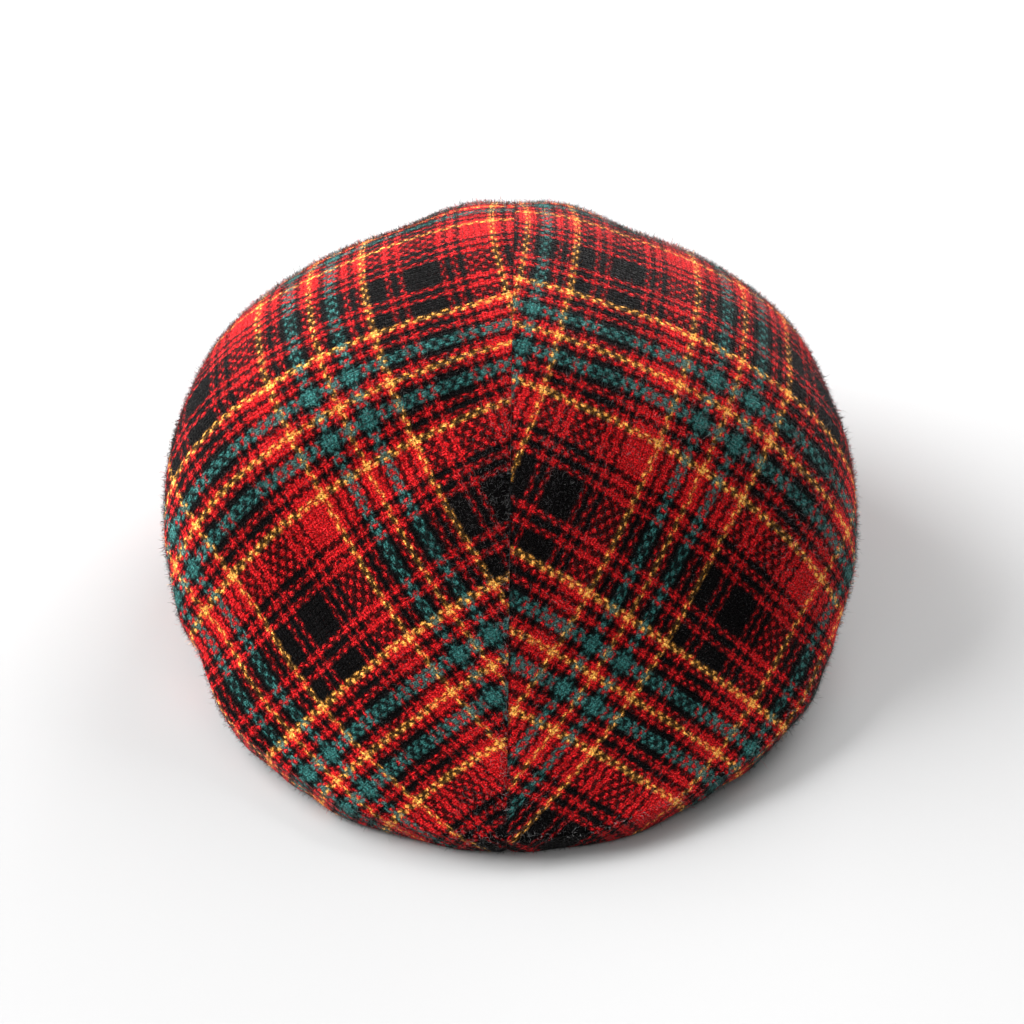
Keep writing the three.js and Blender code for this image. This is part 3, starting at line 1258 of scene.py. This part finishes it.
@dataclass
class WoolNap:
    """Loose fibres that stand out of one panel's cloth, each in the colour of the thread it grows from.

    Lengths are in millimetres, and angles in degrees apart from roll, which is in radians. Each fibre is two
    triangles on four points. The bake_ values are shares of the square that the colours are baked in.
    """

    panel: CrownPanel
    seed: int = 7
    count: int = 95000
    length: float = 1.15
    spread: float = 0.42
    strays: float = 0.004
    stray_length: float = 2.6
    stray_least: float = 0.6
    stray_more: float = 0.8
    least_rise: float = 10.0
    more_rise: float = 75.0
    rise_shape: Tuple[float, float] = (1.3, 1.9)
    curl: float = 18.0
    roll: float = 0.9
    width: float = 0.12
    sunk: float = 0.05
    floor: float = 0.03
    corners: Tuple[int, ...] = (0, 1, 2, 2, 1, 3)
    bake_margin: float = 0.004
    bake_span: float = 0.99
    bake_size: float = 0.0012

    def roots(self, sheet: bpy.types.Object, chance: np.random.Generator) -> Tuple[np.ndarray, ...]:
        """Choose where the fibres grow, evenly over the cloth.

        Args:
            sheet: The panel before it has its thickness.
            chance: The source of all chance.

        Returns:
            Places and normals in millimetres, and places on the flat cloth in metres.
        """
        mesh = sheet.data
        corners = corner_vertices(mesh).reshape(-1, 4)
        areas = np.empty(len(corners), np.float32)
        mesh.polygons.foreach_get("area", areas)
        chosen = chance.choice(len(corners), self.count, p=areas.astype(float) / areas.sum(dtype=float))
        s, t = chance.random((2, self.count, 1))
        weights = np.stack([(1 - s) * (1 - t), s * (1 - t), s * t, (1 - s) * t], 1)
        flat = read_map(mesh).reshape(-1, 4, 2)[chosen]
        picked = corners[chosen]
        places = (read_points(mesh)[picked] / MM * weights).sum(1)
        normals = (read_points(mesh, "normal")[picked] * weights).sum(1)
        return places, normals / np.linalg.norm(normals, axis=1)[:, None], (flat * weights).sum(1)

    def strands(self, places: np.ndarray, normals: np.ndarray, chance: np.random.Generator) -> np.ndarray:
        """Grow the fibres.

        Args:
            places: Their roots.
            normals: The cloth's normals there.
            chance: The source of all chance.

        Returns:
            Four points of each fibre: its root, two at its bend and its tip.
        """
        count = len(places)
        loose = chance.normal(size=(count, 3))
        along = loose - normals * (loose * normals).sum(1)[:, None]
        along /= np.linalg.norm(along, axis=1)[:, None]
        length = self.length * np.exp(self.spread * chance.normal(size=count))
        stray = chance.random(count) < self.strays
        long = self.stray_length * (self.stray_least + self.stray_more * chance.random(count))
        half_length = 0.5 * np.where(stray, long, length)[:, None]
        rise = self.least_rise + self.more_rise * chance.beta(*self.rise_shape, count)
        rise = np.radians(rise)[:, None]
        curl = np.radians(chance.normal(0, self.curl, count))[:, None]
        root = places - normals * self.sunk
        bend = root + half_length * (np.cos(rise + curl) * along + np.sin(rise + curl) * normals)
        tip = bend + half_length * (np.cos(rise - curl) * along + np.sin(rise - curl) * normals)
        roll = chance.uniform(-self.roll, self.roll, count)[:, None]
        beside = np.cross(normals, along)
        lifted = np.cross(along, beside)
        half = self.width / 2 * (np.cos(roll) * beside + np.sin(roll) * lifted)
        grown = np.stack([root, bend + half, bend - half, tip], 1)
        grown[:, :, 2] = np.maximum(grown[:, :, 2], self.floor)
        return grown

    def bake_map(self, flat: np.ndarray) -> np.ndarray:
        """Lay small flat diamonds round the fibres' roots, so that their colours can be baked.

        Args:
            flat: Each fibre's place on the flat cloth.

        Returns:
            Places within one square, one row a face corner.
        """
        low, size = flat.min(0), np.ptp(flat, axis=0).max()
        centres = self.bake_margin + self.bake_span * (flat - low) / size
        diamond = np.array([(0.0, -1.0), (1.0, 0.0), (-1.0, 0.0), (0.0, 1.0)]) * self.bake_size
        return (centres[:, None] + diamond)[:, self.corners].reshape(-1, 2)

    def build(self, sheet: bpy.types.Object, finish: bpy.types.Material) -> bpy.types.Object:
        """Make all fibres of the panel as one joined mesh.

        Args:
            sheet: The panel before it has its thickness.
            finish: The fibres' material.

        Returns:
            The finished piece.
        """
        chance = np.random.default_rng(self.seed + self.panel.side.value)
        places, normals, flat = self.roots(sheet, chance)
        strands = self.strands(places, normals, chance)
        indices = (np.arange(self.count)[:, None] * 4 + np.array(self.corners)).reshape(-1)
        mesh = bpy.data.meshes.new(f"nap_{self.panel.side.word}")
        mesh.vertices.add(self.count * 4)
        mesh.loops.add(len(indices))
        mesh.polygons.add(len(indices) // 3)
        mesh.vertices.foreach_set("co", (strands * MM).astype(np.float32).ravel())
        mesh.loops.foreach_set("vertex_index", indices.astype(np.int32))
        mesh.polygons.foreach_set("loop_start", np.arange(0, len(indices), 3, dtype=np.int32))
        mesh.update(calc_edges=True)
        for which in ClothMap:
            mesh.uv_layers.new(name=which.value)
        write_map(mesh, np.repeat(flat, len(self.corners), axis=0))
        write_map(mesh, self.bake_map(flat), ClothMap.BAKED)
        mesh.polygons.foreach_set("use_smooth", np.ones(len(mesh.polygons), bool))
        mesh.normals_split_custom_set_from_vertices(np.repeat(normals, 4, axis=0).astype(np.float32))
        mesh.materials.append(finish)
        nap = bpy.data.objects.new(mesh.name, mesh)
        bpy.context.collection.objects.link(nap)
        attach(nap, "root")
        return nap


@dataclass
class PeakBoard:
    """The stiff peak under the front of the panels, covered with plain cloth below, in millimetres."""

    form: CapForm
    end: float = 73.0
    thickness: float = 3.0
    lift: float = 1.5
    clear: float = 2.6
    belly: float = 0.55
    cells_round: int = 120
    cells_out: int = 18
    rounding: float = 0.9

    def drape(self, round_share: np.ndarray, out_share: np.ndarray) -> np.ndarray:
        """Places of the board's underside.

        Args:
            round_share: From -1 at one end of the peak to 1 at the other.
            out_share: From -1 at the band to 1 at the edge of the peak.

        Returns:
            Points in millimetres.
        """
        turn = round_share * math.radians(self.end)
        angle = np.abs(turn)
        inside = self.form.head_reach(angle)
        outside = self.form.crown_reach(angle) - self.form.turn_in(angle) - self.clear
        rise = np.maximum(self.form.column("rise", angle), 0)
        low = self.form.column("hem", angle) + self.lift
        q = (1 + out_share) / 2
        p = 1 - q
        reach = p * inside + q * outside
        height = p * p * rise + 2 * p * q * (low + (rise - low) * self.belly) + q * q * low
        return self.form.place(turn, reach, height)

    def build(self, finish: bpy.types.Material) -> bpy.types.Object:
        """Bend a grid to the peak, thicken it upwards and round its edges.

        Args:
            finish: The plain cloth.

        Returns:
            The finished piece.
        """
        board = add_grid("peak_board", self.cells_round, self.cells_out)
        grid = read_points(board.data)
        write_points(board.data, self.drape(grid[:, 0], -grid[:, 1]) * MM)
        apply_modifier("SOLIDIFY", thickness=self.thickness * MM, offset=1.0)
        face_outwards()
        round_edges(self.rounding)
        board.data.materials.append(finish)
        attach(board, "root")
        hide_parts("peak")
        return board


@dataclass
class HeadBand:
    """The plain ribbed band round the inside of the head opening. Lengths are in millimetres."""

    form: CapForm
    thickness: float = 2.0
    clear: float = 0.3
    cells_round: int = 240
    cells_up: int = 8
    weld: float = 0.01
    rounding: float = 0.7
    flat_size: Tuple[float, float] = field(default=(0.0, 0.0), init=False)

    def drape(self, round_share: np.ndarray, up_share: np.ndarray) -> np.ndarray:
        """Places of the band's outside.

        Args:
            round_share: From -1 to 1 round the opening, from the back to the back.
            up_share: From -1 at the lower edge to 1 at the upper.

        Returns:
            Points in millimetres.
        """
        turn = round_share * math.pi
        angle = np.abs(turn)
        up = (1 + up_share) / 2
        reach = self.form.head_reach(angle) - self.clear - up * self.form.column("lean", angle)
        rise = np.maximum(self.form.column("rise", angle), 0)
        return self.form.place(turn, reach, rise + up * self.form.column("tall", angle))

    def wrap(self, mesh: bpy.types.Mesh) -> None:
        """Bend the flat grid round the opening and map it as a straight strip.

        Args:
            mesh: The grid.
        """
        grid = read_points(mesh)
        points = self.drape(grid[:, 0], grid[:, 1]) * MM
        row = points.reshape(self.cells_up + 1, self.cells_round + 1, 3)[0]
        run = np.concatenate([[0.0], np.cumsum(np.linalg.norm(np.diff(row, axis=0), axis=1))])
        tall = float(self.form.column("tall", np.array([math.pi]))[0]) * MM
        flat = np.stack([np.tile(run, self.cells_up + 1), (grid[:, 1] + 1) / 2 * tall], -1)
        mesh.uv_layers[0].name = ClothMap.FLAT.value
        write_points(mesh, points)
        write_map(mesh, flat[corner_vertices(mesh)])
        self.flat_size = (tall, float(run[-1]))

    def build(self, finish: bpy.types.Material) -> bpy.types.Object:
        """Wrap a strip round the opening, join its ends, thicken it inwards and round its edges.

        Args:
            finish: The ribbed tape.

        Returns:
            The finished piece.
        """
        band = add_grid("head_band", self.cells_round, self.cells_up)
        self.wrap(band.data)
        face_outwards(self.weld)
        apply_modifier("SOLIDIFY", thickness=self.thickness * MM, offset=-1.0)
        round_edges(self.rounding)
        band.data.materials.append(finish)
        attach(band, "root")
        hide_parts("headband")
        return band


@dataclass
class Camera:
    """The camera, at the photograph's angle to the cap, in metres and degrees."""

    lens: float = 85.0
    sensor: float = 36.0
    nearest: float = 0.01
    elevation: float = 34.66
    azimuth: float = 0.67
    distance: float = 0.730
    drop: float = 0.0127

    def build(self) -> None:
        """Add the camera and make it the scene's own."""
        lift, turn = math.radians(self.elevation), math.radians(self.azimuth)
        level = math.cos(lift)
        ahead = Vector((-math.sin(turn) * level, math.cos(turn) * level, -math.sin(lift)))
        right = Vector((math.cos(turn), math.sin(turn), 0))
        up = right.cross(ahead)
        target = Vector(MIDDLE)
        place = target - ahead * self.distance
        gaze = target - up * self.drop - place
        start_clean()
        bpy.ops.object.camera_add(location=place, rotation=gaze.to_track_quat("-Z", "Y").to_euler())
        camera = bpy.context.object
        camera.name = "camera"
        camera.data.lens = self.lens
        camera.data.sensor_width = self.sensor
        camera.data.clip_start = self.nearest
        bpy.context.scene.camera = camera


@dataclass(frozen=True)
class Lamp:
    """A soft square light that looks at the cap, in metres and watts."""

    name: str
    place: Tuple[float, float, float]
    size: float
    power: float

    def build(self) -> None:
        """Add the light and turn it to the cap."""
        start_clean()
        gaze = Vector(MIDDLE) - Vector(self.place)
        turn = gaze.to_track_quat("-Z", "Y").to_euler()
        bpy.ops.object.light_add(type="AREA", location=self.place, rotation=turn)
        lamp = bpy.context.object
        lamp.name = self.name
        lamp.data.size = self.size
        lamp.data.energy = self.power


@dataclass
class Studio:
    """Pale paper, soft lamps and a dim surround."""

    floor_radius: float = 20.0
    floor_corners: int = 96
    surround: float = 0.21
    surround_colour: Colour = (1.0, 0.985, 0.97)
    lamps: Tuple[Lamp, ...] = (
        Lamp("key", (-3.2, 1.5, 1.5), 3.6, 560.0),
        Lamp("ceiling", (0.0, 0.0, 7.0), 14.0, 260.0),
        Lamp("rim", (1.5, 2.9, 1.4), 2.5, 215.0),
    )

    def build(self) -> None:
        """Add the floor, the lamps and the surround."""
        start_clean()
        bpy.ops.mesh.primitive_circle_add(
            vertices=self.floor_corners, radius=self.floor_radius, fill_type="NGON"
        )
        floor = bpy.context.object
        floor.name = "floor"
        floor.data.materials.append(StudioPaper().paint())
        for lamp in self.lamps:
            lamp.build()
        world = bpy.data.worlds.new("surround")
        world.use_nodes = True
        background = world.node_tree.nodes["Background"]
        background.inputs["Color"].default_value = (*self.surround_colour, 1.0)
        background.inputs["Strength"].default_value = self.surround
        bpy.context.scene.world = world
        bpy.context.scene.view_settings.view_transform = "Standard"


def report(piece: bpy.types.Object) -> None:
    """Log a finished piece and how many faces it has."""
    LOG.info("%s: %d faces", piece.name, len(piece.data.polygons))


def main() -> None:
    """Build the cap and its studio."""
    logging.basicConfig(level=logging.INFO, format="%(name)s: %(message)s")
    Camera().build()
    form = CapForm()
    tartan = Tartan()
    ground = tartan.paint(bare=True)
    fibres = tartan.paint(bare=False)
    for side in Side:
        panel = CrownPanel(side, form)
        sheet = panel.build(ground)
        nap = WoolNap(panel).build(sheet, fibres)
        panel.thicken(sheet)
        panel.declare(sheet)
        report(sheet)
        report(nap)
    report(PeakBoard(form).build(PlainCloth().paint()))
    report(HeadBand(form).build(RibbedTape().paint()))
    Studio().build()


if __name__ == "__main__":
    main()
